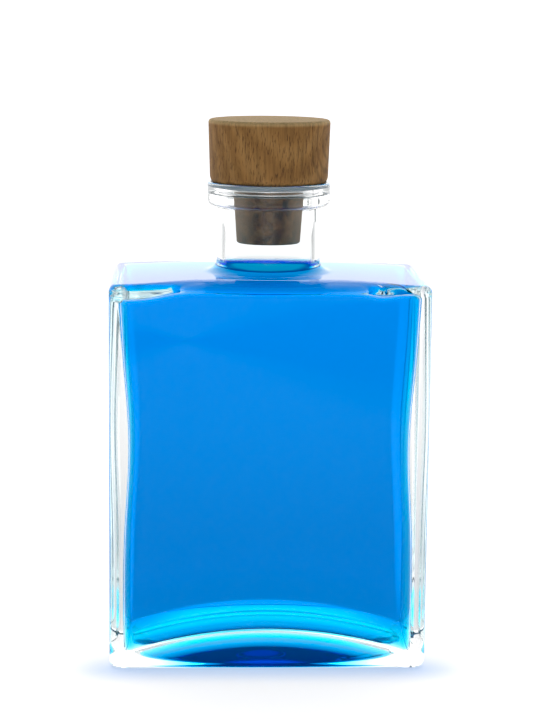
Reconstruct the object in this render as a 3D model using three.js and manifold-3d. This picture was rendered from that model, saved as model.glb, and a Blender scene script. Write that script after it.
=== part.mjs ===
import * as THREE from "three";
import { mergeVertices } from "three/addons/utils/BufferGeometryUtils.js";
import Module from "manifold-3d";

// Heavy rectangular glass flask, filled with liquid and closed by a push-in stopper: a turned
// wooden head glued to a tapered cork shank. Millimetres, +Z up. The origin is the centre of the
// base, on the plane the flask stands on. The broad front faces -Y.

// Glass body, outside. The shoulder is slightly arched, and its front and back edges are rounded
// most at their middles.
const BODY_WIDTH = 93;
const BODY_DEPTH = 55;
const BODY_CORNER_RADIUS = 4;
const BASE_EDGE_RADIUS = 1.8;
const SHOULDER_Z = 113.6;
const SHOULDER_ARCH = 1;
const SHOULDER_EDGE = 2.4;
const EDGE_RUN = 6;
const EDGE_DROP = 1;
const EDGE_SPREAD = 40;

// Underside: a flat bearing ring around an elliptical push-up
const BEARING_RING = 7;
const PUSH_UP_DEPTH = 6.4;

// Glass walls. They thin out upwards, and are thickened at the waist, where the cavity is pinched.
const SIDE_WALL_LOW = 4.3;
const SIDE_WALL_HIGH = 3.2;
const SIDE_PINCH = 2;
const FRONT_WALL_LOW = 3.6;
const FRONT_WALL_HIGH = 3;
const FRONT_PINCH = 0.6;
const WAIST_Z = 67;
const WAIST_SPREAD = 24;

// Cavity: a floor arched from side to side and domed from front to back, and a ceiling that
// follows the shoulder
const CAVITY_CORNER_RADIUS = 2.8;
const FLOOR_SIDE_Z = 4;
const FLOOR_ARCH = 7;
const FLOOR_DOME = 2.2;
const FLOOR_FILLET = 1.5;
const SHOULDER_WALL = 2.8;
const CEILING_EDGE = 1.6;
const CEILING_RUN_SHARE = 0.55;
const CEILING_DROP_SHARE = 0.3;

// Neck and rolled lip
const NECK_RADIUS = 15.3;
const NECK_FILLET = 4;
const LIP_RADIUS = 18.15;
const LIP_UNDER_Z = 134.1;
const LIP_TOP_Z = 141;
const LIP_UNDER_ROUND = 1.8;
const LIP_TOP_ROUND = 0.8;

// Inside the neck: a flare, a tapered hollow, a short land that grips the cork, and a dished
// mouth that the head of the stopper sits down into
const NECK_FLARE = 4.4;
const HOLLOW_LOW_RADIUS = 13.2;
const HOLLOW_TOP_RADIUS = 12.4;
const HOLLOW_TOP_Z = 137.2;
const BORE_RADIUS = 10.65;
const BORE_LOW_Z = 138.2;
const BORE_TOP_Z = 138.5;
const MOUTH_ROUND = 1.6;
const MOUTH_Z = 139.4;

// Stopper
const CLEARANCE = 0.3;
const HEAD_TOP_RADIUS = 17.95;
const HEAD_BOTTOM_RADIUS = 17.45;
const HEAD_BOTTOM_Z = MOUTH_Z + CLEARANCE;
const HEAD_TOP_Z = 159.4;
const HEAD_TOP_ROUND = 1;
const HEAD_BOTTOM_ROUND = 3.4;
const SOCKET_DEPTH = 4;
const SHANK_TOP_RADIUS = 10.35;
const SHANK_BOTTOM_RADIUS = 9.4;
const SHANK_BOTTOM_Z = 123.2;
const SHANK_CHAMFER = 0.8;

// Contents
const LIQUID_LEVEL_Z = 114.8;

// How far a joined shape is sunk into its neighbour, so that they cross rather than touch, and
// how far a cut runs past the face it opens
const SUNK = 0.05;
const OVERCUT = 1;

// Fineness of curved surfaces
const CORNER_DIVISIONS = 4;
const FRONT_DIVISIONS = 8;
const SIDE_DIVISIONS = 3;
const FILLET_STEPS = 5;
const DOME_STEPS = 7;
const TOP_STEPS = 3;
const WALL_STEPS = 12;
const ROUND_SEGMENTS = 56;

const HALF_PI = Math.PI / 2;
const ON_EDGE = 1e-6;
const SHOULDER_TOP_Z = SHOULDER_Z + SHOULDER_ARCH;
const CEILING_TOP_Z = SHOULDER_TOP_Z - SHOULDER_WALL;
const NECK_FOOT_RADIUS = NECK_RADIUS + NECK_FILLET;

const wasm = await Module();
wasm.setup();

// ---- Booleans ----

function toSolid(geometry) {
  const bare = geometry.clone();
  bare.deleteAttribute("normal");
  bare.deleteAttribute("uv");
  const merged = mergeVertices(bare, 1e-4);
  return new wasm.Manifold(
    new wasm.Mesh({
      numProp: 3,
      vertProperties: new Float32Array(merged.attributes.position.array),
      triVerts: new Uint32Array(merged.index.array),
    }),
  );
}

function toGeometry(solid) {
  const mesh = solid.getMesh();
  const geometry = new THREE.BufferGeometry();
  geometry.setAttribute("position", new THREE.BufferAttribute(mesh.vertProperties, 3));
  geometry.setIndex(new THREE.BufferAttribute(mesh.triVerts, 1));
  geometry.computeVertexNormals();
  return geometry;
}

// ---- Lofted and turned shapes ----

// A rounded rectangle. Every one has the same number of points, so any two can be joined.
function roundedRectangle(halfWidth, halfDepth, radius) {
  const x = halfWidth - radius;
  const y = halfDepth - radius;
  const shape = new THREE.Shape();
  shape.absarc(x, y, radius, 0, HALF_PI);
  shape.absarc(-x, y, radius, HALF_PI, Math.PI);
  shape.absarc(-x, -y, radius, Math.PI, 3 * HALF_PI);
  shape.absarc(x, -y, radius, 3 * HALF_PI, 4 * HALF_PI);
  shape.closePath();
  // The curves take turns: a corner, a front or back edge, a corner, a side edge.
  const divisions = [CORNER_DIVISIONS, FRONT_DIVISIONS, CORNER_DIVISIONS, SIDE_DIVISIONS];
  return shape.curves.flatMap((curve, i) => curve.getPoints(divisions[i % 4]).slice(0, -1));
}

// A rounded rectangle raised to heightAt(x, y).
function ring(halfWidth, halfDepth, radius, heightAt) {
  const points = roundedRectangle(halfWidth, halfDepth, radius);
  return points.map((p) => new THREE.Vector3(p.x, p.y, heightAt(p.x, p.y)));
}

// A closed skin through a stack of rings from the lowest up. Each end closes on a point over the
// origin, at bottomZ and topZ.
function loft(rings, bottomZ, topZ) {
  const count = rings[0].length;
  const positions = rings.flatMap((points) => points.flatMap((p) => p.toArray()));
  const bottom = rings.length * count;
  const top = bottom + 1;
  positions.push(0, 0, bottomZ, 0, 0, topZ);

  const indices = [];
  for (let i = 0; i < count; i++) {
    const j = (i + 1) % count;
    const last = (rings.length - 1) * count;
    indices.push(bottom, j, i, top, last + i, last + j);
    for (let level = 0; level < last; level += count) {
      const [a, b] = [level + i, level + j];
      indices.push(a, b, b + count, a, b + count, a + count);
    }
  }

  const geometry = new THREE.BufferGeometry();
  geometry.setAttribute("position", new THREE.Float32BufferAttribute(positions, 3));
  geometry.setIndex(indices);
  return geometry;
}

// Numbers from 0 to 1 in equal steps, both ends included.
function fractions(steps) {
  return Array.from({ length: steps + 1 }, (_, i) => i / steps);
}

// Points on a circle about (x, z), from one angle to another.
function arc(x, z, radius, fromAngle, toAngle) {
  return new THREE.EllipseCurve(x, z, radius, radius, fromAngle, toAngle, toAngle < fromAngle)
    .getPoints(FILLET_STEPS);
}

// The rounded lower outer edge of a turned shape whose flat underside is at z.
function roundUnder(radius, z, round) {
  return arc(radius - round, z + round, round, -HALF_PI, 0);
}

// The rounded upper outer edge of a turned shape whose flat top is at z.
function roundOver(radius, z, round) {
  return arc(radius - round, z - round, round, 0, HALF_PI);
}

// A profile of (radius, height) points, turned about +Z.
function turned(profile) {
  return new THREE.LatheGeometry(profile, ROUND_SEGMENTS).rotateX(HALF_PI);
}

const at = (radius, z) => new THREE.Vector2(radius, z);

// ---- Glass ----

function shoulderZ(x) {
  const drop = THREE.MathUtils.smoothstep(Math.abs(x), NECK_FOOT_RADIUS, BODY_WIDTH / 2);
  return SHOULDER_Z + SHOULDER_ARCH * (1 - drop);
}

// 1 at the middle of a front or back edge, falling to 0 at the corners and along the sides.
function middleShare(x, y, halfDepth) {
  const onLongEdge = Math.abs(y) > halfDepth - ON_EDGE;
  return onLongEdge ? Math.max(0, 1 - (x / EDGE_SPREAD) ** 2) : 0;
}

// A ring of an edge that turns from a wall into a level face: t is the angle turned. The edge's
// run and drop may change along the ring, and faceZ(x) is the height of the level face.
function edgeRing(halfWidth, halfDepth, radius, t, sizeAt, faceZ) {
  const outline = roundedRectangle(halfWidth, halfDepth, radius);
  return outline.map((p) => {
    const { run, drop } = sizeAt(p.x, p.y);
    const inset = run * (1 - Math.cos(t));
    const corner = new THREE.Vector2(
      Math.sign(p.x) * Math.min(Math.abs(p.x), halfWidth - radius),
      Math.sign(p.y) * Math.min(Math.abs(p.y), halfDepth - radius),
    );
    const outward = p.clone().sub(corner).normalize();
    const moved = p.clone().addScaledVector(outward, -inset);
    return new THREE.Vector3(moved.x, moved.y, faceZ(p.x) - drop * (1 - Math.sin(t)));
  });
}

// The same ring drawn in towards the origin by the share s.
function shrunk(points, s, heightAt) {
  return points.map((p) => new THREE.Vector3(p.x * s, p.y * s, heightAt(p.x * s, p.y * s)));
}

function shoulderEdgeSize(x, y) {
  const share = middleShare(x, y, BODY_DEPTH / 2);
  return { run: SHOULDER_EDGE + EDGE_RUN * share, drop: SHOULDER_EDGE + EDGE_DROP * share };
}

function ceilingEdgeSize(halfDepth) {
  return (x, y) => {
    const share = middleShare(x, y, halfDepth);
    const run = CEILING_EDGE + CEILING_RUN_SHARE * EDGE_RUN * share;
    const drop = CEILING_EDGE + CEILING_DROP_SHARE * EDGE_DROP * share;
    return { run, drop };
  };
}

// An elliptical ring of the push-up, at the share s of the way out to the bearing ring.
function pushUpRing(s) {
  const a = (BODY_WIDTH / 2 - BEARING_RING) * s;
  const b = (BODY_DEPTH / 2 - BEARING_RING) * s;
  const outline = roundedRectangle(BODY_WIDTH / 2, BODY_DEPTH / 2, BODY_CORNER_RADIUS);
  return outline.map((p) => {
    const angle = Math.atan2(p.y / BODY_DEPTH, p.x / BODY_WIDTH);
    const z = PUSH_UP_DEPTH * (1 - s * s);
    return new THREE.Vector3(a * Math.cos(angle), b * Math.sin(angle), z);
  });
}

function bodyOutside() {
  const halfWidth = BODY_WIDTH / 2;
  const halfDepth = BODY_DEPTH / 2;
  const pushUp = fractions(DOME_STEPS).slice(1).map(pushUpRing);
  const baseEdge = arc(0, 0, BASE_EDGE_RADIUS, 0, HALF_PI).map((p) => {
    const inset = BASE_EDGE_RADIUS - p.y;
    const radius = BODY_CORNER_RADIUS - inset;
    return ring(halfWidth - inset, halfDepth - inset, radius, () => BASE_EDGE_RADIUS - p.x);
  });
  const shoulderEdge = fractions(FILLET_STEPS).map((t) =>
    edgeRing(halfWidth, halfDepth, BODY_CORNER_RADIUS, t * HALF_PI, shoulderEdgeSize, shoulderZ),
  );
  const shoulder = fractions(TOP_STEPS)
    .slice(1, -1)
    .map((t) => shrunk(shoulderEdge.at(-1), 1 - t, shoulderZ));
  const rings = [...pushUp, ...baseEdge, ...shoulderEdge, ...shoulder];
  return loft(rings, PUSH_UP_DEPTH, SHOULDER_TOP_Z);
}

// Wall thickness at height z: a taper, plus the extra glass at the waist.
function wallAt(z, low, high, pinch) {
  const waist = Math.exp(-(((z - WAIST_Z) / WAIST_SPREAD) ** 2));
  return low + ((high - low) * z) / SHOULDER_Z + pinch * waist;
}

function cavityHalfWidth(z, gap) {
  return BODY_WIDTH / 2 - wallAt(z, SIDE_WALL_LOW, SIDE_WALL_HIGH, SIDE_PINCH) - gap;
}

function cavityHalfDepth(z, gap) {
  return BODY_DEPTH / 2 - wallAt(z, FRONT_WALL_LOW, FRONT_WALL_HIGH, FRONT_PINCH) - gap;
}

function floorZ(x, y) {
  const across = Math.min(1, Math.abs(x) / cavityHalfWidth(0, 0));
  const along = Math.min(1, Math.abs(y) / cavityHalfDepth(0, 0));
  return FLOOR_SIDE_Z + FLOOR_ARCH * (1 - across ** 2) + FLOOR_DOME * (1 - along ** 2);
}

// The cavity, or a body that fills it with the given gap to the glass.
function cavityBody(gap) {
  const radius = CAVITY_CORNER_RADIUS - gap;
  const floorEdge = arc(0, 0, FLOOR_FILLET, 0, HALF_PI).map((p) => {
    const inset = FLOOR_FILLET - p.y;
    const halfWidth = cavityHalfWidth(0, gap) - inset;
    const halfDepth = cavityHalfDepth(0, gap) - inset;
    return ring(halfWidth, halfDepth, radius - inset, (x, y) => floorZ(x, y) + gap + FLOOR_FILLET - p.x);
  });
  const floor = fractions(DOME_STEPS)
    .slice(1, -1)
    .map((s) => shrunk(floorEdge[0], s, (x, y) => floorZ(x, y) + gap));

  const ceilingZ = (x) => shoulderZ(x) - SHOULDER_WALL - gap;
  const topWidth = cavityHalfWidth(SHOULDER_Z, gap);
  const topDepth = cavityHalfDepth(SHOULDER_Z, gap);
  const ceilingEdge = fractions(FILLET_STEPS).map((t) =>
    edgeRing(topWidth, topDepth, radius, t * HALF_PI, ceilingEdgeSize(topDepth), ceilingZ),
  );
  const ceiling = fractions(TOP_STEPS)
    .slice(1, -1)
    .map((t) => shrunk(ceilingEdge.at(-1), 1 - t, ceilingZ));

  const [low, high] = [floorEdge.at(-1), ceilingEdge[0]];
  const walls = fractions(WALL_STEPS)
    .slice(1, -1)
    .map((t) => wallRing(low, high, t, gap, radius));
  const rings = [...floor, ...floorEdge, ...walls, ...ceilingEdge, ...ceiling];
  return loft(rings, floorZ(0, 0) + gap, ceilingZ(0));
}

// A ring of the cavity's wall, the share t of the way up from the ring low to the ring high.
function wallRing(low, high, t, gap, radius) {
  const middleZ = THREE.MathUtils.lerp(low[0].z, high[0].z, t);
  const outline = ring(
    cavityHalfWidth(middleZ, gap),
    cavityHalfDepth(middleZ, gap),
    radius,
    () => 0,
  );
  return outline.map((p, i) => p.setZ(THREE.MathUtils.lerp(low[i].z, high[i].z, t)));
}

// All that is open above the cavity, up to topZ, with the given gap to the glass.
function neckHollow(gap, topZ) {
  const flareX = HOLLOW_LOW_RADIUS + NECK_FLARE;
  const flareZ = CEILING_TOP_Z + NECK_FLARE - SUNK;
  const underCeiling = CEILING_TOP_Z - CEILING_EDGE;
  const [wide, tight] = [HOLLOW_TOP_RADIUS - gap, BORE_RADIUS - gap];
  const third = (BORE_LOW_Z - HOLLOW_TOP_Z) / 3;
  const narrowing = new THREE.CubicBezierCurve(
    at(wide, HOLLOW_TOP_Z),
    at(wide, BORE_LOW_Z - third),
    at(tight, HOLLOW_TOP_Z + third),
    at(tight, BORE_LOW_Z),
  );
  return turned([
    at(0, underCeiling),
    at(flareX, underCeiling),
    ...arc(flareX, flareZ, NECK_FLARE + gap, 3 * HALF_PI, Math.PI),
    ...narrowing.getPoints(FILLET_STEPS),
    at(tight, topZ),
    at(0, topZ),
  ]);
}

// The rounded mouth and the dish that matches the lower edge of the stopper's head.
function mouthDish() {
  const radius = HEAD_BOTTOM_ROUND + CLEARANCE;
  const centreX = HEAD_BOTTOM_RADIUS - HEAD_BOTTOM_ROUND;
  const centreZ = MOUTH_Z + radius;
  const rimAngle = -Math.asin((centreZ - LIP_TOP_Z) / radius);
  const rimX = centreX + radius * Math.cos(rimAngle);
  const roundHeight = MOUTH_Z - BORE_TOP_Z;
  const rounding = new THREE.EllipseCurve(
    BORE_RADIUS + MOUTH_ROUND, BORE_TOP_Z, MOUTH_ROUND, roundHeight, Math.PI, HALF_PI, true,
  );
  return turned([
    at(0, BORE_LOW_Z),
    at(BORE_RADIUS, BORE_LOW_Z),
    ...rounding.getPoints(FILLET_STEPS),
    ...arc(centreX, centreZ, radius, -HALF_PI, rimAngle),
    at(rimX, LIP_TOP_Z + OVERCUT),
    at(0, LIP_TOP_Z + OVERCUT),
  ]);
}

function neckOutside() {
  const footZ = SHOULDER_TOP_Z - SUNK;
  return turned([
    at(0, SHOULDER_Z - OVERCUT),
    at(NECK_FOOT_RADIUS, SHOULDER_Z - OVERCUT),
    ...arc(NECK_FOOT_RADIUS, footZ + NECK_FILLET, NECK_FILLET, 3 * HALF_PI, Math.PI),
    at(NECK_RADIUS, LIP_UNDER_Z),
    ...roundUnder(LIP_RADIUS, LIP_UNDER_Z, LIP_UNDER_ROUND),
    ...roundOver(LIP_RADIUS, LIP_TOP_Z, LIP_TOP_ROUND),
    at(0, LIP_TOP_Z),
  ]);
}

function bottleGeometry() {
  const solid = toSolid(bodyOutside())
    .add(toSolid(neckOutside()))
    .subtract(toSolid(cavityBody(0)))
    .subtract(toSolid(neckHollow(0, LIP_TOP_Z + OVERCUT)))
    .subtract(toSolid(mouthDish()));
  return toGeometry(solid);
}

// ---- Contents ----

function liquidGeometry() {
  const belowLevel = new THREE.BoxGeometry(BODY_WIDTH, BODY_DEPTH, 2 * LIQUID_LEVEL_Z);
  const solid = toSolid(cavityBody(CLEARANCE))
    .add(toSolid(neckHollow(CLEARANCE, LIP_TOP_Z)))
    .intersect(toSolid(belowLevel));
  return toGeometry(solid);
}

// ---- Stopper ----

function headGeometry() {
  const socketRadius = SHANK_TOP_RADIUS + CLEARANCE;
  const socketTopZ = HEAD_BOTTOM_Z + SOCKET_DEPTH;
  return turned([
    at(0, socketTopZ),
    at(socketRadius, socketTopZ),
    at(socketRadius, HEAD_BOTTOM_Z),
    ...roundUnder(HEAD_BOTTOM_RADIUS, HEAD_BOTTOM_Z, HEAD_BOTTOM_ROUND),
    ...roundOver(HEAD_TOP_RADIUS, HEAD_TOP_Z, HEAD_TOP_ROUND),
    at(0, HEAD_TOP_Z),
  ]);
}

function shankGeometry() {
  const topZ = HEAD_BOTTOM_Z + SOCKET_DEPTH - CLEARANCE;
  return turned([
    at(0, SHANK_BOTTOM_Z),
    at(SHANK_BOTTOM_RADIUS - SHANK_CHAMFER, SHANK_BOTTOM_Z),
    at(SHANK_BOTTOM_RADIUS, SHANK_BOTTOM_Z + SHANK_CHAMFER),
    at(SHANK_TOP_RADIUS, BORE_TOP_Z),
    at(SHANK_TOP_RADIUS, topZ),
    at(0, topZ),
  ]);
}

// ---- Materials and assembly ----

const glass = new THREE.MeshStandardMaterial({
  color: 0xe6f0f2,
  roughness: 0.04,
  metalness: 0,
  transparent: true,
  opacity: 0.35,
});
const beech = new THREE.MeshStandardMaterial({ color: 0x9a7850, roughness: 0.62, metalness: 0 });
const cork = new THREE.MeshStandardMaterial({ color: 0x74604a, roughness: 0.9, metalness: 0 });
const blueLiquid = new THREE.MeshStandardMaterial({
  color: 0x008ce4,
  roughness: 0.05,
  metalness: 0,
});

function piece(name, geometry, material) {
  const mesh = new THREE.Mesh(geometry, material);
  mesh.name = name;
  return mesh;
}

const bottle = new THREE.Group();
bottle.name = "bottle";
bottle.add(piece("glass_bottle", bottleGeometry(), glass));
bottle.add(piece("liquid_fill", liquidGeometry(), blueLiquid));

const stopper = new THREE.Group();
stopper.name = "stopper";
stopper.add(piece("stopper_head", headGeometry(), beech));
stopper.add(piece("stopper_shank", shankGeometry(), cork));

const flask = new THREE.Group();
flask.name = "stoppered_flask";
flask.add(bottle, stopper);

export default flask;
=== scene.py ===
import math

import bpy
from mathutils import Matrix, Vector


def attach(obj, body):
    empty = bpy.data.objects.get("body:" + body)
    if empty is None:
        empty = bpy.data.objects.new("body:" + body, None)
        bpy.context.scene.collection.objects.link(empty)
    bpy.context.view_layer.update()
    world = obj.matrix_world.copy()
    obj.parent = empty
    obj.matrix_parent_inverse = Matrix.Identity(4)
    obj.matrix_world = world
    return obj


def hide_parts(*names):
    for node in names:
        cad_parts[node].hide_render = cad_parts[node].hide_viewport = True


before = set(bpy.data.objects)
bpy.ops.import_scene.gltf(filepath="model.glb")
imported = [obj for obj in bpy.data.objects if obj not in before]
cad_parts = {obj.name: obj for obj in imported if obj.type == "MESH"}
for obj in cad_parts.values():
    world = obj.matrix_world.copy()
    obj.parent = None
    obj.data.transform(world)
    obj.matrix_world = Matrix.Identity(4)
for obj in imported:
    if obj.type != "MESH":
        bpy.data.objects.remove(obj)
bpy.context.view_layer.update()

MM = 0.001
TAU = 2 * math.pi

# ---------------------------------------------------------------- sizes, millimetres
# glass body, outside
BODY_WIDTH = 93.0
BODY_DEPTH = 55.0
BODY_CORNER = 4.0
BASE_EDGE = 1.8
BEARING_RING = 7.0
PUSH_UP = 6.4
SHOULDER_Z = 113.6  # at the four corners
SHOULDER_ARCH = 1.0  # how much higher the shoulder is round the neck
SHOULDER_EDGE = 2.4  # rounding along the sides and at the corners
EDGE_RUN = 6.0  # extra run of the rounding at the middle of the front and back
EDGE_DROP = 1.0  # extra drop there
EDGE_SPREAD_LEFT = 36.0  # the extra rounding fades out this far from the middle
EDGE_SPREAD_RIGHT = 42.4

# cavity
SIDE_WALL_LOW = 4.3
SIDE_WALL_HIGH = 3.2
SIDE_PINCH = 2.0  # extra glass at the waist
FRONT_WALL_LOW = 3.6
FRONT_WALL_HIGH = 3.0
FRONT_PINCH = 0.6
WAIST_Z = 67.0
WAIST_SPREAD = 24.0
CAVITY_CORNER = 2.8
FLOOR_SIDE_Z = 4.0
FLOOR_ARCH = 7.0
FLOOR_DOME = 2.2
FLOOR_FILLET = 1.5
SHOULDER_WALL = 2.8
CEILING_EDGE = 1.6
CEILING_RUN = 3.3  # extra run and drop of that edge at the middle of the front and back
CEILING_DROP = 0.3
LENS_EDGE = 0.4  # extra rounding where the glass is thick along the front's top edge
LENS_DROP = 2.2  # how much lower the ceiling hangs there
LENS_REACH = 12.0
LENS_LEFT = (22, 38)  # the left end thickens between these distances from the middle
LENS_RIGHT = 32  # the middle of the spot on the right, its reach and its share of the drop
LENS_RIGHT_REACH = 4
LENS_RIGHT_SHARE = 0.5

# neck and mouth
NECK_R = 15.3
NECK_FILLET = 4.0
LIP_R = 18.15
LIP_UNDER_Z = 134.1
LIP_TOP_Z = 141.0
LIP_UNDER_ROUND = 1.8
LIP_TOP_ROUND = 0.8
LIP_FILLET = 0.6  # in the corner between the neck and the lip's underside
NECK_FLARE = 4.4
FLARE_LEAD = 0.4
NECK_HOLLOW_LOW_R = 13.2
NECK_HOLLOW_TOP_R = 12.4
NECK_HOLLOW_TOP_Z = 137.2
BORE_R = 10.65
BORE_LOW_Z = 138.2
BORE_TOP_Z = 138.5
MOUTH_Z = 139.4  # the floor of the dish that the head sits in
MOUTH_ROUND = 1.6
MOUTH_STEP = 0.2  # the bore's rounded top ends this far below the dish's floor
DISH_SHORT = 3.0  # degrees by which the dish's arc stops short of the rim
DISH_RIM = 0.1
DISH_MARGIN = 0.3  # the ground faces start this far below the dish's floor
RIM_MARGIN = 0.02  # and end this far below the lip's top

# stopper
SEAT_GAP = 0.3
HEAD_TOP_R = 17.95
HEAD_BOTTOM_R = 17.45
HEAD_TOP_Z = 159.4
HEAD_TOP_ROUND = 1.0
HEAD_BOTTOM_ROUND = 3.4
SHANK_TOP_R = 10.35
SHANK_BOTTOM_R = 9.4
SHANK_BOTTOM_Z = 123.2
SHANK_CHAMFER = 0.8
SHANK_SHORT = 0.05  # gap between the shank's top and the head

# contents
LIQUID_Z = 114.8
MENISCUS = 0.5  # how far the surface climbs at the glass
MENISCUS_REACH = 1.4
SURFACE_STEPS = (0.0, 0.15, 0.35, 0.6, 0.9, 1.3, 1.8, 2.5, 3.5, 5.0, 8.0, 11.0)  # rings in from the glass
WETTING = 0.08  # how far the liquid's skin reaches into the glass, so that no air shows between

HEAD_BOTTOM_Z = MOUTH_Z + SEAT_GAP
NECK_FOOT_R = NECK_R + NECK_FILLET
NECK_FOOT_Z = SHOULDER_Z + SHOULDER_ARCH
LEAD = 0.3  # a short flat beside a rounding, which keeps the shading of the larger flat even

# points round each ring: along half of the front, round a corner, along half of a side
FRONT_HALF = 30
CORNER = 12
SIDE_HALF = 16
AROUND = 4 * (FRONT_HALF + CORNER + SIDE_HALF)

# steps from ring to ring
PUSH_UP_STEPS = 32
OUTER_WALL_STEPS = 40
SHOULDER_STEPS = 16
FLOOR_STEPS = 29
INNER_WALL_STEPS = 48
CEILING_STEPS = 14
ACROSS_STEPS = 8  # over the shoulder to the neck's foot, outside and inside

# material slots of the glass and of the liquid, each after the plain one
WETTED = 1
GROUND = 2
SURFACE = 1


# ---------------------------------------------------------------- rings and skins
def smooth(x, a, b):
    t = min(max((x - a) / (b - a), 0.0), 1.0)
    return t * t * (3 - 2 * t)


def bell(x, middle, spread):
    return math.exp(-(((x - middle) / spread) ** 2))


def quarter_outline():
    """Points of a rounded rectangle from the middle of its right side to the middle of its back.

    Each is (along x, along y, normal x, normal y): the straights stretch with the rectangle,
    and the normal places the point on its corner circle.
    """
    points = [(1.0, i / SIDE_HALF, 1.0, 0.0) for i in range(SIDE_HALF)]
    for i in range(CORNER):
        a = 0.25 * TAU * i / CORNER
        points.append((1.0, 1.0, math.cos(a), math.sin(a)))
    points += [(1 - i / FRONT_HALF, 1.0, 0.0, 1.0) for i in range(FRONT_HALF + 1)]
    return points


def full_outline():
    right_back = quarter_outline()
    left_back = [(-ax, ay, -nx, ny) for ax, ay, nx, ny in reversed(right_back[:-1])]
    back = right_back + left_back
    front = [(ax, -ay, nx, -ny) for ax, ay, nx, ny in reversed(back[1:-1])]
    return back + front


OUTLINE = full_outline()


def place(point, half_width, half_depth, corner):
    ax, ay, nx, ny = point
    return ax * (half_width - corner) + nx * corner, ay * (half_depth - corner) + ny * corner


def circle(r, z):
    return [(r * math.cos(TAU * i / AROUND), r * math.sin(TAU * i / AROUND), z) for i in range(AROUND)]


def arc(cx, cz, r, a0, a1, steps):
    """Points (radius, z) on an arc, angles in degrees."""
    angles = [math.radians(a0 + (a1 - a0) * i / steps) for i in range(steps + 1)]
    return [(cx + r * math.cos(a), cz + r * math.sin(a)) for a in angles]


def between(ring_a, ring_b, steps, height):
    """Rings part of the way from one to the other, each point at the height of its place."""
    out = []
    for k in range(1, steps):
        t = k / steps
        ring = [(p[0] + (q[0] - p[0]) * t, p[1] + (q[1] - p[1]) * t) for p, q in zip(ring_a, ring_b)]
        out.append([(x, y, height(x, y)) for x, y in ring])
    return out


def skin(name, rings, start, end):
    """A closed mesh through rings, each end closed by a point on the axis."""
    n = len(rings[0])
    verts = [tuple(c * MM for c in p) for ring in rings for p in ring]
    verts += [(0.0, 0.0, start * MM), (0.0, 0.0, end * MM)]
    first, last = len(verts) - 2, len(verts) - 1
    top = (len(rings) - 1) * n
    faces = []
    for a in range(0, top, n):
        for i in range(n):
            j = (i + 1) % n
            faces.append((a + i, a + j, a + n + j, a + n + i))
    for i in range(n):
        j = (i + 1) % n
        faces.append((first, j, i))
        faces.append((last, top + i, top + j))
    mesh = bpy.data.meshes.new(name)
    mesh.from_pydata(verts, [], faces)
    mesh.validate()
    for p in mesh.polygons:
        p.use_smooth = True
    mesh.update()
    obj = bpy.data.objects.new(name, mesh)
    bpy.context.scene.collection.objects.link(obj)
    return obj


# ---------------------------------------------------------------- glass, outside
def shoulder_z(x):
    return SHOULDER_Z + SHOULDER_ARCH * (1 - smooth(abs(x), NECK_FOOT_R, BODY_WIDTH / 2))


def mid_front(point, x):
    """1 at the middle of the front or back edge, falling to 0 at the corners and sides."""
    if abs(point[3]) != 1:
        return 0.0
    if x > 0:
        return max(0.0, 1 - (x / EDGE_SPREAD_RIGHT) ** 2)
    return max(0.0, 1 - (x / EDGE_SPREAD_LEFT) ** 2)


def body_ring(z, inset):
    hw, hd = BODY_WIDTH / 2 - inset, BODY_DEPTH / 2 - inset
    return [(*place(p, hw, hd, BODY_CORNER - inset), z) for p in OUTLINE]


def shoulder_ring(angle):
    """The rounded shoulder edge, from the wall at 0 degrees to the top at 90."""
    c, s = math.cos(math.radians(angle)), math.sin(math.radians(angle))
    ring = []
    for p in OUTLINE:
        x, y = place(p, BODY_WIDTH / 2, BODY_DEPTH / 2, BODY_CORNER)
        share = mid_front(p, x)
        run = (SHOULDER_EDGE + EDGE_RUN * share) * (1 - c)
        drop = (SHOULDER_EDGE + EDGE_DROP * share) * (1 - s)
        ring.append((x - p[2] * run, y - p[3] * run, shoulder_z(x) - drop))
    return ring


def underside_rings():
    """The push-up: an elliptical dome inside the flat ring that the bottle stands on."""
    hw, hd = BODY_WIDTH / 2 - BEARING_RING, BODY_DEPTH / 2 - BEARING_RING
    angles = [math.atan2(y / BODY_DEPTH, x / BODY_WIDTH) for x, y, _ in body_ring(0, 0)]
    rings = []
    for k in range(1, PUSH_UP_STEPS + 1):
        s = k / PUSH_UP_STEPS
        z = PUSH_UP * (1 - s * s)
        rings.append([(hw * s * math.cos(a), hd * s * math.sin(a), z) for a in angles])
    return rings


def outside_rings():
    rings = underside_rings()
    rings.append(body_ring(0, BASE_EDGE + LEAD))
    for x, z in arc(0, 0, BASE_EDGE, -90, 0, 10):
        rings.append(body_ring(BASE_EDGE + z, BASE_EDGE - x))
    low, high = rings[-1], shoulder_ring(0)
    for k in range(1, OUTER_WALL_STEPS):
        t = k / OUTER_WALL_STEPS
        rings.append([(p[0], p[1], p[2] + (q[2] - p[2]) * t) for p, q in zip(low, high)])
    rings += [shoulder_ring(90 * k / SHOULDER_STEPS) for k in range(SHOULDER_STEPS + 1)]
    foot = circle(NECK_FOOT_R + LEAD, NECK_FOOT_Z)
    rings += between(rings[-1], foot, ACROSS_STEPS, lambda x, y: shoulder_z(x))
    rings.append(foot)
    rings += [circle(r, z) for r, z in neck_outside()]
    return rings


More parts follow.
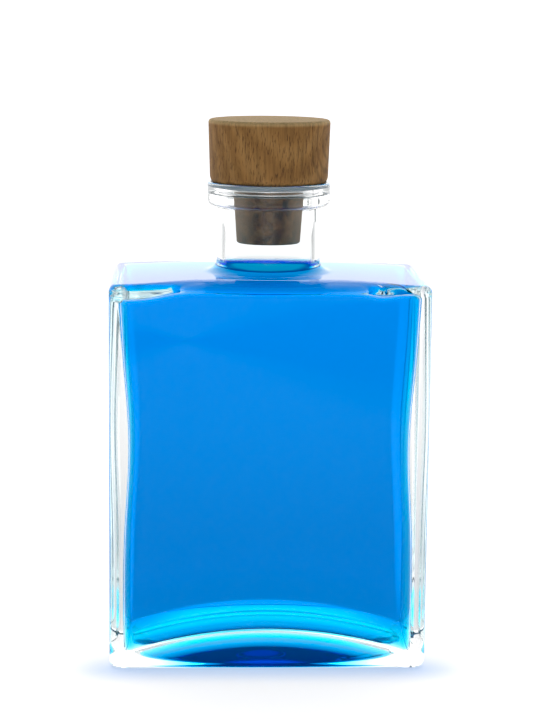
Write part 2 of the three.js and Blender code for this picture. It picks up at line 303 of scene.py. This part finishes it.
def neck_outside():
    """Profile (radius, z) from the neck's foot up over the lip."""
    low = NECK_FOOT_Z + NECK_FILLET
    profile = arc(NECK_FOOT_R, low, NECK_FILLET, 270, 180, 14)
    straight = LIP_UNDER_Z - 2 * LIP_FILLET - low
    profile += [(NECK_R, low + LEAD + straight * k / 8) for k in range(9)]
    profile += arc(NECK_R + LIP_FILLET, LIP_UNDER_Z - LIP_FILLET, LIP_FILLET, 180, 90, 5)
    profile += arc(LIP_R - LIP_UNDER_ROUND, LIP_UNDER_Z + LIP_UNDER_ROUND, LIP_UNDER_ROUND, -90, 0, 10)
    profile += arc(LIP_R - LIP_TOP_ROUND, LIP_TOP_Z - LIP_TOP_ROUND, LIP_TOP_ROUND, 0, 90, 8)
    return profile


# ---------------------------------------------------------------- glass, inside
def side_wall(z):
    taper = SIDE_WALL_LOW + (SIDE_WALL_HIGH - SIDE_WALL_LOW) * z / SHOULDER_Z
    return taper + SIDE_PINCH * bell(z, WAIST_Z, WAIST_SPREAD)


def front_wall(z):
    taper = FRONT_WALL_LOW + (FRONT_WALL_HIGH - FRONT_WALL_LOW) * z / SHOULDER_Z
    return taper + FRONT_PINCH * bell(z, WAIST_Z, WAIST_SPREAD)


def cavity_point(point, z, grow):
    hw = BODY_WIDTH / 2 - side_wall(z) + grow
    hd = BODY_DEPTH / 2 - front_wall(z) + grow
    return place(point, hw, hd, CAVITY_CORNER + grow)


def floor_z(x, y):
    """The floor is arched from side to side and, less, from front to back."""
    across = x / (BODY_WIDTH / 2 - SIDE_WALL_LOW)
    along = y / (BODY_DEPTH / 2 - FRONT_WALL_LOW)
    return FLOOR_SIDE_Z + FLOOR_ARCH * max(0.0, 1 - across**2) + FLOOR_DOME * max(0.0, 1 - along**2)


def ceiling_z(x):
    return shoulder_z(x) - SHOULDER_WALL


def lens_drop(x, y):
    """How much lower the ceiling hangs over the front's thick spots, fading towards the middle."""
    return LENS_DROP * lens_share(x) * bell(y, -BODY_DEPTH / 2, LENS_REACH)


def lens_share(x):
    """Where the front's top edge is thick: its left end, and one spot on its right."""
    return smooth(-x, *LENS_LEFT) + LENS_RIGHT_SHARE * bell(x, LENS_RIGHT, LENS_RIGHT_REACH)


def cavity_rings(grow):
    """Rings from the floor's middle to the flare of the neck, grown into the glass by grow."""
    rings = []
    hw = BODY_WIDTH / 2 - SIDE_WALL_LOW - FLOOR_FILLET + grow
    hd = BODY_DEPTH / 2 - FRONT_WALL_LOW - FLOOR_FILLET + grow
    for k in range(1, FLOOR_STEPS):
        s = k / FLOOR_STEPS
        ring = []
        for p in OUTLINE:
            x, y = place(p, hw * s, hd * s, (CAVITY_CORNER - FLOOR_FILLET) * s)
            ring.append((x, y, floor_z(x, y) - grow))
        rings.append(ring)
    for dx, dz in arc(0, 0, FLOOR_FILLET, -90, 0, 10):
        ring = []
        for p in OUTLINE:
            x, y = cavity_point(p, 0, grow)
            z = floor_z(x, y) - grow + FLOOR_FILLET + dz
            ring.append((x - p[2] * (FLOOR_FILLET - dx), y - p[3] * (FLOOR_FILLET - dx), z))
        rings.append(ring)
    low, high = rings[-1], ceiling_ring(0, grow)
    for k in range(1, INNER_WALL_STEPS):
        t = k / INNER_WALL_STEPS
        ring = []
        for p, a, b in zip(OUTLINE, low, high):
            z = a[2] + (b[2] - a[2]) * t
            ring.append((*cavity_point(p, z, grow), z))
        rings.append(ring)
    rings += [ceiling_ring(90 * k / CEILING_STEPS, grow) for k in range(CEILING_STEPS + 1)]
    flare = circle(NECK_HOLLOW_LOW_R + NECK_FLARE + FLARE_LEAD, NECK_FOOT_Z - SHOULDER_WALL + grow)
    rings += between(rings[-1], flare, ACROSS_STEPS, lambda x, y: ceiling_z(x) - lens_drop(x, y) + grow)
    rings.append(flare)
    return rings


def ceiling_ring(angle, grow):
    """The rounded edge under the shoulder, from the wall at 0 degrees to the ceiling at 90."""
    c, s = math.cos(math.radians(angle)), math.sin(math.radians(angle))
    ring = []
    for p in OUTLINE:
        x0, y0 = cavity_point(p, SHOULDER_Z, grow)
        extra = LENS_EDGE * lens_share(x0) if p[3] < -0.5 else 0.0
        run = CEILING_EDGE + extra + CEILING_RUN * mid_front(p, x0)
        drop = CEILING_EDGE + extra + CEILING_DROP * mid_front(p, x0)
        z = ceiling_z(x0) - lens_drop(x0, y0 - p[3] * run) + grow - drop * (1 - s)
        x, y = cavity_point(p, z, grow)
        ring.append((x - p[2] * run * (1 - c), y - p[3] * run * (1 - c), z))
    return ring


def neck_inside(grow):
    """Profile (radius, z) from the flare up through the bore and over the dished mouth."""
    low_z = NECK_FOOT_Z - SHOULDER_WALL + NECK_FLARE
    profile = arc(NECK_HOLLOW_LOW_R + NECK_FLARE, low_z, NECK_FLARE - grow, 270, 180, 16)
    steps = 16
    for k in range(1, steps + 1):
        t = k / steps
        r = NECK_HOLLOW_LOW_R + (NECK_HOLLOW_TOP_R - NECK_HOLLOW_LOW_R) * t
        profile.append((r + grow, low_z + (NECK_HOLLOW_TOP_Z - low_z) * t))
    for k in range(1, 11):
        z = NECK_HOLLOW_TOP_Z + (BORE_LOW_Z - NECK_HOLLOW_TOP_Z) * k / 10
        r = BORE_R + (NECK_HOLLOW_TOP_R - BORE_R) * (1 - smooth(z, NECK_HOLLOW_TOP_Z, BORE_LOW_Z))
        profile.append((r + grow, z))
    profile += [(BORE_R, BORE_LOW_Z + (BORE_TOP_Z - BORE_LOW_Z) * k / 5) for k in range(1, 5)]
    mouth_rise = MOUTH_Z - MOUTH_STEP - BORE_TOP_Z
    for k in range(9):
        a = 0.25 * TAU * k / 8
        profile.append((BORE_R + MOUTH_ROUND * (1 - math.cos(a)), BORE_TOP_Z + mouth_rise * math.sin(a)))
    seat = HEAD_BOTTOM_ROUND + SEAT_GAP
    centre_r = HEAD_BOTTOM_R - HEAD_BOTTOM_ROUND
    rim = math.degrees(math.acos((MOUTH_Z + seat - LIP_TOP_Z) / seat))
    profile += arc(centre_r, MOUTH_Z + seat, seat, -90, rim - 90 - DISH_SHORT, 10)
    profile.append((centre_r + seat * math.sin(math.radians(rim)) + DISH_RIM, LIP_TOP_Z))
    return profile


def build_glass():
    """One closed skin, wetted below the liquid's level and ground in the dish."""
    inside = cavity_rings(0) + [circle(r, z) for r, z in neck_inside(0)]
    rings = outside_rings() + inside[::-1]
    obj = skin("glass", rings, PUSH_UP, floor_z(0, 0))
    level = LIQUID_Z * MM
    dish_low, dish_high = (MOUTH_Z - DISH_MARGIN) * MM, (LIP_TOP_Z - RIM_MARGIN) * MM
    for p in obj.data.polygons:
        inner = p.center.to_2d().length < NECK_R * MM or p.center.z < level
        facing_in = p.index >= AROUND * (len(rings) - len(inside) - 1)
        if facing_in and inner and p.center.z < level + MENISCUS * MM:
            p.material_index = WETTED
        if facing_in and dish_low < p.center.z < dish_high:
            p.material_index = GROUND
    return obj


# ---------------------------------------------------------------- contents and stopper
def build_liquid():
    """The liquid, grown a little into the glass, with a level surface that climbs at its edge."""
    wall = cavity_rings(WETTING)
    contact = LIQUID_Z + MENISCUS
    wall += [circle(r, z) for r, z in neck_inside(WETTING) if z < contact]
    rim = wall[-1][0][0]
    top = []
    for back in SURFACE_STEPS:
        top.append(circle(rim - back, LIQUID_Z + MENISCUS * math.exp(-back / MENISCUS_REACH)))
    obj = skin("liquid", wall + top, floor_z(0, 0) - WETTING, LIQUID_Z)
    first, last = AROUND * (len(wall) - 1), AROUND * (len(wall) + len(top) - 1)
    for p in obj.data.polygons:
        cap = p.index >= last and p.center.z > LIQUID_Z / 2 * MM
        if first <= p.index < last or cap:
            p.material_index = SURFACE
    return obj


def lathe(name, profile):
    """A turned solid from a profile (radius, z) that starts and ends on the axis."""
    rings = [circle(r, z) for r, z in profile[1:-1]]
    return skin(name, rings, profile[0][1], profile[-1][1])


def build_head():
    profile = [(0, HEAD_BOTTOM_Z), (HEAD_BOTTOM_R * 0.4, HEAD_BOTTOM_Z)]
    low = HEAD_BOTTOM_Z + HEAD_BOTTOM_ROUND
    high = HEAD_TOP_Z - HEAD_TOP_ROUND
    profile += arc(HEAD_BOTTOM_R - HEAD_BOTTOM_ROUND, low, HEAD_BOTTOM_ROUND, -90, 0, 14)
    for k in range(1, 12):
        t = k / 12
        profile.append((HEAD_BOTTOM_R + (HEAD_TOP_R - HEAD_BOTTOM_R) * t, low + (high - low) * t))
    profile += arc(HEAD_TOP_R - HEAD_TOP_ROUND, high, HEAD_TOP_ROUND, 0, 90, 8)
    profile += [(HEAD_TOP_R * k / 8, HEAD_TOP_Z) for k in (7, 5, 3, 1)]
    profile.append((0, HEAD_TOP_Z))
    return lathe("head", profile)


def build_shank():
    low = SHANK_BOTTOM_Z + SHANK_CHAMFER
    top = HEAD_BOTTOM_Z - SHANK_SHORT
    profile = [(0, SHANK_BOTTOM_Z), (SHANK_BOTTOM_R * 0.5, SHANK_BOTTOM_Z)]
    profile += arc(SHANK_BOTTOM_R - SHANK_CHAMFER, low, SHANK_CHAMFER, -90, 0, 8)
    for k in range(1, 25):
        t = k / 24
        profile.append((SHANK_BOTTOM_R + (SHANK_TOP_R - SHANK_BOTTOM_R) * t, low + (BORE_TOP_Z - low) * t))
    profile += [(SHANK_TOP_R, top), (SHANK_TOP_R * 0.5, top), (0, top)]
    return lathe("shank", profile)


# ---------------------------------------------------------------- materials
GLASS_COLOUR = (0.985, 0.995, 0.992)
GLASS_IOR = 1.5
GROUND_ROUGHNESS = 0.5
GROUND_TRANSMISSION = 0.35
LIQUID_IOR = 1.34
WET_TINT = 0.02  # how much of the reflection is left where glass and liquid touch
DYE = (0.0, 0.927, 0.99)
DYE_DENSITY = 400

# painted light on the liquid's level surface: a glow in its middle, painted shade towards the glass, and a
# noise wobble at the shade's edge
SURFACE_PAINTED_LIGHT = (0.004, 0.27, 0.5)
SURFACE_RIM_PAINTED_SHADE = (0.0, 0.04, 0.22)
SURFACE_BASE = (0.0, 0.12, 0.3)
RIM_SHADE_START = 2.4  # painted shade darkens the surface from this far inside the neck's hollow to this far outside
RIM_SHADE_END = 0.6
RIM_SHADE_WOBBLE = 0.0015

RING_STOPS = [(0.0, (0.35, 0.16, 0.038)), (0.55, (0.4, 0.19, 0.048)), (1.0, (0.44, 0.22, 0.062))]
STREAK_STOPS = [(0.3, (0.78, 0.75, 0.7)), (0.62, (1.08, 1.08, 1.08))]
PORE_STOPS = [(0.34, (0.55, 0.48, 0.42)), (0.45, (1.03, 1.03, 1.03))]
PITH_AT = (-0.016, 0.012, 0.0)
PITH_LEAN = (math.radians(12), math.radians(9), 0)
KNOT_AT = (0.0185, 0.0, 0.1525)  # a swirl in the grain at the head's right
KNOT_SQUASH = (1, 0, 0.5)
KNOT_FADE = (0.0105, 0.006)
KNOT_STOPS = [(0.0, (0.8, 0.77, 0.72)), (0.6, (1.06, 1.06, 1.06))]
# the head's top and its rounding: end grain flecks under a painted highlight that makes them paler
END_GRAIN_HIGHLIGHT = (0.8, 0.56, 0.26)
END_GRAIN_SHARE = 0.35  # how much of the side's flecks shows on the head's top
TOP_HIGHLIGHT_Z = (HEAD_TOP_Z - 1.7, HEAD_TOP_Z - 0.4)

CORK_STOPS = [(0.34, (0.2, 0.055, 0.008)), (0.52, (0.29, 0.105, 0.02)), (0.7, (0.4, 0.18, 0.055))]
GRANULE_STOPS = [(0.1, (0.65, 0.62, 0.6)), (0.9, (1.2, 1.2, 1.2))]
# painted light: the cork is paler towards its left and right sides, as though lit from there
CORK_SIDE_PAINTED_LIGHT = (0.9, 0.64, 0.44)
CORK_SIDE_LIGHT_SHARE = 0.8
CORK_SIDE_LIGHT_FROM = (0.3, 1.02)  # painted light on the cork's sides starts and is full at these, in shank radii to the left and right of the axis


def material(name):
    mat = bpy.data.materials.new(name)
    mat.use_nodes = True
    tree = mat.node_tree
    return mat, tree, tree.nodes["Principled BSDF"], tree.nodes["Material Output"]


def add(tree, kind, **settings):
    """A node, each setting going to the input or the property of that name."""
    node = tree.nodes.new(kind)
    for key, value in settings.items():
        if key in node.inputs:
            node.inputs[key].default_value = value
        else:
            setattr(node, key, value)
    return node


def noise(tree, vector, scale, detail=2.0):
    node = add(tree, "ShaderNodeTexNoise", Scale=scale, Detail=detail)
    tree.links.new(vector, node.inputs["Vector"])
    return node


def bump(tree, shader, height, strength, distance):
    node = add(tree, "ShaderNodeBump", Strength=strength, Distance=distance)
    tree.links.new(height, node.inputs["Height"])
    tree.links.new(node.outputs["Normal"], shader.inputs["Normal"])


def ramp(tree, value, stops):
    node = tree.nodes.new("ShaderNodeValToRGB")
    points = node.color_ramp.elements
    while len(points) < len(stops):
        points.new(0.5)
    for point, (place_at, colour) in zip(points, stops):
        point.position = place_at
        point.color = (*colour, 1)
    tree.links.new(value, node.inputs["Fac"])
    return node


def ease(tree, value, start, end, low=0.0, high=1.0):
    """Smoothly from low to high as value goes from start to end."""
    node = add(tree, "ShaderNodeMapRange", interpolation_type="SMOOTHSTEP")
    for key, number in (("From Min", start), ("From Max", end), ("To Min", low), ("To Max", high)):
        node.inputs[key].default_value = number
    tree.links.new(value, node.inputs["Value"])
    return node.outputs[0]


def calc(tree, operation, first, second=0.0):
    """Each term is a socket or a plain number."""
    node = add(tree, "ShaderNodeMath", operation=operation)
    for socket, value in zip(node.inputs, (first, second)):
        if isinstance(value, bpy.types.NodeSocket):
            tree.links.new(value, socket)
        else:
            socket.default_value = value
    return node.outputs[0]


def glass_material(name, wet=False, ground=False):
    """Clear glass with the faint waviness of moulding."""
    mat, tree, shader, _ = material(name)
    shader.inputs["Base Color"].default_value = (*GLASS_COLOUR, 1)
    shader.inputs["Roughness"].default_value = GROUND_ROUGHNESS if ground else 0.0
    shader.inputs["IOR"].default_value = GLASS_IOR
    shader.inputs["Transmission Weight"].default_value = GROUND_TRANSMISSION if ground else 1.0
    if wet:
        shader.inputs["Specular Tint"].default_value = (WET_TINT, WET_TINT, WET_TINT, 1)
    waves = noise(tree, position(tree, (1, 1, 0.5)), 60.0, 1.0)
    bump(tree, shader, waves.outputs["Fac"], 0.15, 0.0001)
    return mat


def liquid_material():
    """Clear, with a blue dye that takes out the red and a little green along the light's path."""
    mat, tree, shader, output = material("blue liquid")
    shader.inputs["Base Color"].default_value = (1, 1, 1, 1)
    shader.inputs["Roughness"].default_value = 0.0
    shader.inputs["IOR"].default_value = LIQUID_IOR
    shader.inputs["Transmission Weight"].default_value = 1.0
    shader.inputs["Specular Tint"].default_value = (WET_TINT, WET_TINT, WET_TINT, 1)
    dye = add(tree, "ShaderNodeVolumeAbsorption", Color=(*DYE, 1), Density=DYE_DENSITY)
    tree.links.new(dye.outputs[0], output.inputs["Volume"])
    return mat


def surface_material():
    """Painted light: the level surface in the neck glows pale blue in its middle, with painted shade darker
    towards the glass.
    """
    mat, tree, shader, _ = material("blue liquid surface")
    # painted shade: the glow darkens with distance from the axis, with a noise wobble at its edge
    out = length(tree, position(tree, (1, 1, 0)))
    rim_shade_wobble = noise(tree, position(tree, (1, 1, 1)), 220.0, 1.0)
    edge = calc(tree, "ADD", out, calc(tree, "MULTIPLY", rim_shade_wobble.outputs["Fac"], RIM_SHADE_WOBBLE))
    rim = ease(tree, edge, (NECK_HOLLOW_LOW_R - RIM_SHADE_START) * MM, (NECK_HOLLOW_LOW_R + RIM_SHADE_END) * MM)
    glow = mix(tree, rim, SURFACE_PAINTED_LIGHT, SURFACE_RIM_PAINTED_SHADE)
    tree.links.new(glow, shader.inputs["Emission Color"])
    shader.inputs["Emission Strength"].default_value = 1.0
    shader.inputs["Base Color"].default_value = (*SURFACE_BASE, 1)
    shader.inputs["Roughness"].default_value = 0.1
    shader.inputs["Specular IOR Level"].default_value = 0.0
    return mat


def length(tree, vector):
    node = add(tree, "ShaderNodeVectorMath", operation="LENGTH")
    tree.links.new(vector, node.inputs[0])
    return node.outputs["Value"]


def split(tree, vector):
    """The X, Y and Z of a vector."""
    node = tree.nodes.new("ShaderNodeSeparateXYZ")
    tree.links.new(vector, node.inputs[0])
    return node.outputs


def position(tree, scale):
    """The object's own coordinates, stretched by scale."""
    coords = tree.nodes.new("ShaderNodeTexCoord")
    stretch = add(tree, "ShaderNodeVectorMath", operation="MULTIPLY")
    stretch.inputs[1].default_value = scale
    tree.links.new(coords.outputs["Object"], stretch.inputs[0])
    return stretch.outputs[0]


def mix(tree, factor, first, second, blend="MIX"):
    """Each colour is a socket or plain numbers."""
    node = tree.nodes.new("ShaderNodeMix")
    node.data_type = "RGBA"
    node.blend_type = blend
    sockets = [node.inputs[0], node.inputs[6], node.inputs[7]]
    for socket, value in zip(sockets, (factor, first, second)):
        if isinstance(value, bpy.types.NodeSocket):
            tree.links.new(value, socket)
        elif isinstance(value, tuple):
            socket.default_value = (*value, 1)
        else:
            socket.default_value = value
    return node.outputs[2]


def knot(tree, coords, grain):
    """The grain with a swirl of arcs round the knot, fading out away from it."""
    offset = add(tree, "ShaderNodeVectorMath", operation="SUBTRACT")
    offset.inputs[1].default_value = KNOT_AT
    tree.links.new(coords, offset.inputs[0])
    flat = add(tree, "ShaderNodeVectorMath", operation="MULTIPLY")
    flat.inputs[1].default_value = KNOT_SQUASH
    tree.links.new(offset.outputs[0], flat.inputs[0])
    away = length(tree, flat.outputs[0])
    swirl = add(tree, "ShaderNodeTexWave", wave_type="RINGS", rings_direction="Y", Scale=190.0)
    swirl.inputs["Distortion"].default_value = 6.0
    tree.links.new(flat.outputs[0], swirl.inputs["Vector"])
    arcs = ramp(tree, swirl.outputs["Fac"], KNOT_STOPS)
    swirled = mix(tree, 1.0, grain, arcs.outputs["Color"], "MULTIPLY")
    return mix(tree, ease(tree, away, *KNOT_FADE), grain, swirled)


def beech_material():
    """Upright grain: growth rings round a leaning pith, a knot, fine streaks and short dark pores."""
    mat, tree, shader, _ = material("oiled beech")
    lean = tree.nodes.new("ShaderNodeMapping")
    lean.inputs["Location"].default_value = PITH_AT
    lean.inputs["Rotation"].default_value = PITH_LEAN
    coords = tree.nodes.new("ShaderNodeTexCoord").outputs["Object"]
    tree.links.new(coords, lean.inputs["Vector"])
    rings = add(tree, "ShaderNodeTexWave", wave_type="RINGS", rings_direction="Z", Scale=95.0, Distortion=5.0)
    rings.inputs["Detail"].default_value = 3.0
    rings.inputs["Detail Scale"].default_value = 0.6
    tree.links.new(lean.outputs[0], rings.inputs["Vector"])
    growth = ramp(tree, rings.outputs["Fac"], RING_STOPS)
    streaks = noise(tree, position(tree, (1500, 1500, 90)), 1.0, 4.0)
    tone = ramp(tree, streaks.outputs["Fac"], STREAK_STOPS)
    grain = mix(tree, 1.0, growth.outputs["Color"], tone.outputs["Color"], "MULTIPLY")
    grain = knot(tree, coords, grain)
    pores = noise(tree, position(tree, (3000, 3000, 420)), 1.0, 2.0)
    dark = ramp(tree, pores.outputs["Fac"], PORE_STOPS)
    flecked = mix(tree, 1.0, grain, dark.outputs["Color"], "MULTIPLY")
    # painted highlight: the top and its rounding are paler, with some of the side's flecks for the end grain
    low, high = TOP_HIGHLIGHT_Z
    top_highlight = ease(tree, split(tree, coords)["Z"], low * MM, high * MM)
    pale = mix(tree, 1.0, END_GRAIN_HIGHLIGHT, tone.outputs["Color"], "MULTIPLY")
    colour = mix(tree, top_highlight, flecked, mix(tree, END_GRAIN_SHARE, pale, flecked))
    tree.links.new(colour, shader.inputs["Base Color"])
    shader.inputs["Roughness"].default_value = 0.7
    shader.inputs["Specular IOR Level"].default_value = 0.3
    bump(tree, shader, pores.outputs["Fac"], 0.35, 0.0003)
    return mat


def cork_material():
    """Brown granules with darker seams, with painted light making them paler towards the left and right."""
    mat, tree, shader, _ = material("cork")
    place_at = position(tree, (1, 1, 1))
    grains = add(tree, "ShaderNodeTexVoronoi", Scale=620.0, Randomness=1.0)
    tree.links.new(place_at, grains.inputs["Vector"])
    patches = noise(tree, place_at, 260.0, 3.0)
    base = ramp(tree, patches.outputs["Fac"], CORK_STOPS)
    granule = ramp(tree, grains.outputs["Color"], GRANULE_STOPS)
    speckled = mix(tree, 1.0, base.outputs["Color"], granule.outputs["Color"], "MULTIPLY")
    # painted light on the left and right sides
    aside = calc(tree, "ABSOLUTE", split(tree, place_at)["X"])
    start, end = CORK_SIDE_LIGHT_FROM
    edge = ease(tree, aside, start * SHANK_TOP_R * MM, end * SHANK_TOP_R * MM)
    pale = mix(tree, CORK_SIDE_LIGHT_SHARE, speckled, CORK_SIDE_PAINTED_LIGHT)
    tree.links.new(mix(tree, edge, speckled, pale), shader.inputs["Base Color"])
    shader.inputs["Roughness"].default_value = 0.95
    shader.inputs["Specular IOR Level"].default_value = 0.1
    bump(tree, shader, patches.outputs["Fac"], 0.8, 0.0008)
    return mat


def dress(obj, mats, body, node):
    for mat in mats:
        obj.data.materials.append(mat)
    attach(obj, body)
    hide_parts(node)


glass = [
    glass_material("clear glass"),
    glass_material("wetted glass", wet=True),
    glass_material("ground glass", ground=True),
]
dress(build_glass(), glass, "bottle", "glass_bottle")
liquid = [liquid_material(), surface_material()]
dress(build_liquid(), liquid, "bottle", "liquid_fill")
dress(build_head(), [beech_material()], "stopper", "stopper_head")
dress(build_shank(), [cork_material()], "stopper", "stopper_shank")


# ---------------------------------------------------------------- studio, metres
CAMERA_PLACE = (-0.02454, -0.62695, 0.19547)
CAMERA_YAW = math.radians(2.2539)
CAMERA_PITCH = math.radians(9.7629)  # downwards
CAMERA_ROLL = math.radians(0.583)
CAMERA_LENS = 106.255
CAMERA_SENSOR = 36.0

FLOOR_HALF = 4.0
FLOOR_COLOUR = (0.7, 0.7, 0.705)
GLOW_OPEN = 0.78
GLOW_BEHIND = [(0.0, 0.5), (0.05, 0.36), (0.15, 0.36), (0.35, 0.5), (1.0, 0.75)]  # (metres back, glow)
CAMERA_ASIDE = 0.0245  # where the main camera stands, to the left and in front, for the wedge
CAMERA_AWAY = 0.627
HIDDEN_SLANT = (0.064, 0.078)  # edge of the wedge that it sees through the bottle, as a slope
WEDGE_FRONT = (0.0, -0.03)  # y over which the wedge ends before the bottle
SIDE_SLANT = (0.3, 0.9)  # slope over which the glow falls off to both sides
SIDE_GLOW = 0.3  # share of it that is left there
SHADOW_INSET = 2.0  # millimetres inside the foot's outline where the shadow starts
SHADOW_REACH = 0.018
SHADOW_FRONT = (-0.01, -0.03)  # y over which it comes in
SHADOW_TINT = (0.5, 0.64, 0.92)
UNDER_LIGHT = (0.02, 0.8, 1.0)
UNDER_SIDE = (0.037, 0.02)  # |x|, y in front and y behind over which the light beneath comes in
UNDER_FRONT = (-0.027, -0.02)
UNDER_BACK = (0.035, 0.02)

BACKDROP = 1.5
FRONT_LIGHT = 0.3
DEPTH_RANGE = (-0.1, 0.92)  # from the camera's side to the backdrop, by the direction's y
CEILING = 0.7
HEIGHT_RANGE = (0.35, 0.8)
STRIP_AT = math.radians(35)  # a dark stand beside the backdrop, this far round to the right
STRIP_RANGE = (0.04, 0.12)
STRIP_LIGHT = 0.15
STRIP_SQUASH = (1, 1, 0.3)  # makes the stand taller than it is wide

OVERHEAD_PLACE = (0, 0.5, 1.6)
OVERHEAD_AIM = (0, 0.3, 0)
OVERHEAD_SIZE = 1.6
OVERHEAD_POWER = 3

BLACK_LEVEL = (0.045, 0.012, 0.0)


def floor_material():
    """Pale and softly glowing, laid out for the main camera: less in the wedge behind the bottle
    and out to the sides, with a bluish shadow before the foot and blue light beneath it."""
    mat, tree, shader, _ = material("pale floor")
    shader.inputs["Base Color"].default_value = (*FLOOR_COLOUR, 1)
    shader.inputs["Roughness"].default_value = 0.8
    place_at = split(tree, tree.nodes.new("ShaderNodeTexCoord").outputs["Object"])
    x = calc(tree, "ABSOLUTE", place_at["X"])
    y = place_at["Y"]

    stops = [(at, (glow, glow, glow)) for at, glow in GLOW_BEHIND]
    behind = ramp(tree, y, stops).outputs["Color"]
    from_camera = calc(tree, "ADD", place_at["X"], CAMERA_ASIDE)
    slant = calc(tree, "DIVIDE", from_camera, calc(tree, "ADD", y, CAMERA_AWAY))
    slant = calc(tree, "ABSOLUTE", calc(tree, "SUBTRACT", slant, CAMERA_ASIDE / CAMERA_AWAY))
    aside = calc(tree, "MAXIMUM", ease(tree, slant, *HIDDEN_SLANT), ease(tree, y, *WEDGE_FRONT))
    light = mix(tree, aside, behind, (GLOW_OPEN, GLOW_OPEN, GLOW_OPEN))

    half_width = (BODY_WIDTH / 2 - SHADOW_INSET) * MM
    half_depth = (BODY_DEPTH / 2 - SHADOW_INSET) * MM
    out_x = calc(tree, "MAXIMUM", calc(tree, "SUBTRACT", x, half_width), 0.0)
    out_y = calc(tree, "MAXIMUM", calc(tree, "SUBTRACT", calc(tree, "ABSOLUTE", y), half_depth), 0.0)
    squares = calc(tree, "ADD", calc(tree, "POWER", out_x, 2.0), calc(tree, "POWER", out_y, 2.0))
    gap = calc(tree, "SQRT", squares)
    shadow = calc(tree, "MULTIPLY", ease(tree, gap, SHADOW_REACH, 0.0), ease(tree, y, *SHADOW_FRONT))
    shadow = calc(tree, "MULTIPLY", shadow, calc(tree, "GREATER_THAN", gap, 0.0))
    light = mix(tree, shadow, light, mix(tree, 1.0, light, SHADOW_TINT, "MULTIPLY"))

    under = calc(tree, "MULTIPLY", ease(tree, x, *UNDER_SIDE), ease(tree, y, *UNDER_FRONT))
    under = calc(tree, "MULTIPLY", under, ease(tree, y, *UNDER_BACK))
    light = mix(tree, under, light, UNDER_LIGHT)

    flagged = ease(tree, slant, *SIDE_SLANT, 1.0, SIDE_GLOW)
    tree.links.new(mix(tree, 1.0, light, flagged, "MULTIPLY"), shader.inputs["Emission Color"])
    shader.inputs["Emission Strength"].default_value = 1.0
    return mat


def build_floor():
    mesh = bpy.data.meshes.new("floor")
    s = FLOOR_HALF
    mesh.from_pydata([(-s, -s, 0), (s, -s, 0), (s, s, 0), (-s, s, 0)], [], [(0, 1, 2, 3)])
    obj = bpy.data.objects.new("floor", mesh)
    bpy.context.scene.collection.objects.link(obj)
    obj.data.materials.append(floor_material())


def build_world():
    """Bright behind the bottle, dimmer overhead and on the camera's side, with one dark stand."""
    world = bpy.data.worlds.new("studio")
    bpy.context.scene.world = world
    world.use_nodes = True
    tree = world.node_tree
    background = tree.nodes["Background"]
    direction = tree.nodes.new("ShaderNodeTexCoord").outputs["Generated"]
    parts = split(tree, direction)
    depth = ease(tree, parts["Y"], *DEPTH_RANGE, FRONT_LIGHT, BACKDROP)
    height = ease(tree, parts["Z"], *HEIGHT_RANGE, 1.0, CEILING)
    flat = add(tree, "ShaderNodeVectorMath", operation="MULTIPLY")
    flat.inputs[1].default_value = STRIP_SQUASH
    tree.links.new(direction, flat.inputs[0])
    strip = add(tree, "ShaderNodeVectorMath", operation="DISTANCE")
    strip.inputs[1].default_value = (math.sin(STRIP_AT), math.cos(STRIP_AT), 0.0)
    tree.links.new(flat.outputs[0], strip.inputs[0])
    dim = ease(tree, strip.outputs["Value"], *STRIP_RANGE, STRIP_LIGHT, 1.0)
    strength = calc(tree, "MULTIPLY", calc(tree, "MULTIPLY", depth, dim), height)
    background.inputs["Color"].default_value = (1, 1, 1, 1)
    tree.links.new(strength, background.inputs["Strength"])


def build_overhead():
    light = bpy.data.lights.new("overhead", "AREA")
    light.shape = "RECTANGLE"
    light.size = light.size_y = OVERHEAD_SIZE
    light.energy = OVERHEAD_POWER
    obj = bpy.data.objects.new("overhead", light)
    obj.location = OVERHEAD_PLACE
    down = Vector(OVERHEAD_AIM) - Vector(OVERHEAD_PLACE)
    obj.rotation_euler = down.to_track_quat("-Z", "Y").to_euler()
    bpy.context.scene.collection.objects.link(obj)


def build_camera():
    aside, ahead = math.sin(CAMERA_YAW), math.cos(CAMERA_YAW)
    level = math.cos(CAMERA_PITCH)
    forward = Vector((aside * level, ahead * level, -math.sin(CAMERA_PITCH)))
    right = Vector((ahead, -aside, 0))
    up = right.cross(forward)
    rolled_right = right * math.cos(CAMERA_ROLL) + up * math.sin(CAMERA_ROLL)
    rolled_up = up * math.cos(CAMERA_ROLL) - right * math.sin(CAMERA_ROLL)
    cam = bpy.data.cameras.new("camera")
    cam.sensor_fit = "AUTO"
    cam.sensor_width = CAMERA_SENSOR
    cam.lens = CAMERA_LENS
    cam.clip_start = 0.01
    cam.clip_end = 20
    obj = bpy.data.objects.new("camera", cam)
    turn = Matrix((rolled_right, rolled_up, -forward)).transposed().to_4x4()
    turn.translation = Vector(CAMERA_PLACE)
    obj.matrix_world = turn
    bpy.context.scene.collection.objects.link(obj)
    bpy.context.scene.camera = obj


build_floor()
build_world()
build_overhead()
build_camera()

scene = bpy.context.scene
scene.view_settings.view_transform = "Standard"
scene.view_settings.use_curve_mapping = True
scene.view_settings.curve_mapping.black_level = BLACK_LEVEL
scene.view_settings.curve_mapping.update()
scene.cycles.max_bounces = 24
scene.cycles.transmission_bounces = 20
scene.cycles.glossy_bounces = 12
scene.cycles.transparent_max_bounces = 12
